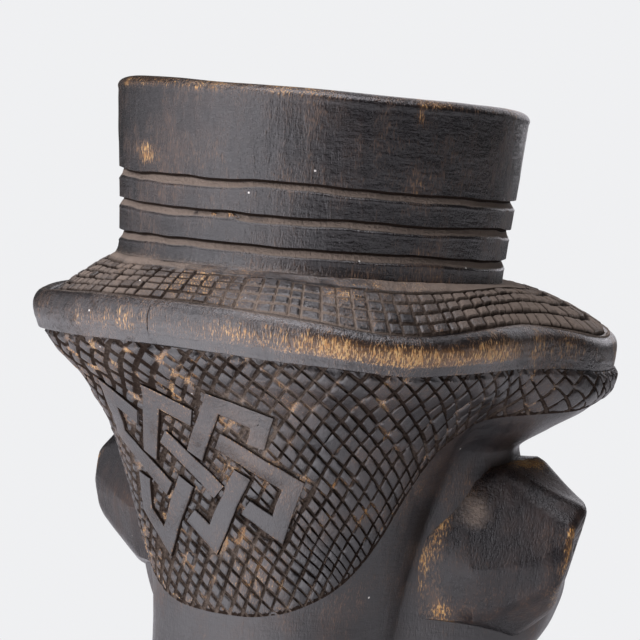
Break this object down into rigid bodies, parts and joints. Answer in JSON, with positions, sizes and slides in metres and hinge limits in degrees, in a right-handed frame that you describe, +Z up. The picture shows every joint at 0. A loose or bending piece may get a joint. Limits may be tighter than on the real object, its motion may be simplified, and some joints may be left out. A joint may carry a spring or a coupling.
{
  "type": "figural drinking cup",
  "caption": "Carved wooden drinking cup shaped as a head: round cup collar, broad hatched coiffure with a worn brim band, interlaced nape panel, ears, calm face and a flared foot.",
  "frame": {"origin": "centre of the foot's flat underside", "axes": "+Z up along the axis of the cup, -Y towards the face, +Y towards the nape, -X towards the figure's right ear"},
  "size_m": [0.124, 0.1276, 0.1906],
  "materials": {
    "dark_wood": "satin",
    "worn_wood": "satin"
  },
  "bodies": {
    "root": {"cup_collar": "dark_wood", "coiffure_top": "dark_wood", "brim_band": "worn_wood", "head": "dark_wood", "nape_panel": "dark_wood", "nape_interlace": "dark_wood", "right_ear": "dark_wood", "left_ear": "dark_wood", "right_eye": "dark_wood", "left_eye": "dark_wood", "right_brow": "dark_wood", "left_brow": "dark_wood", "nose": "dark_wood", "upper_lip": "dark_wood", "lower_lip": "dark_wood", "neck": "dark_wood", "foot": "dark_wood"}
  },
  "joints": []
}
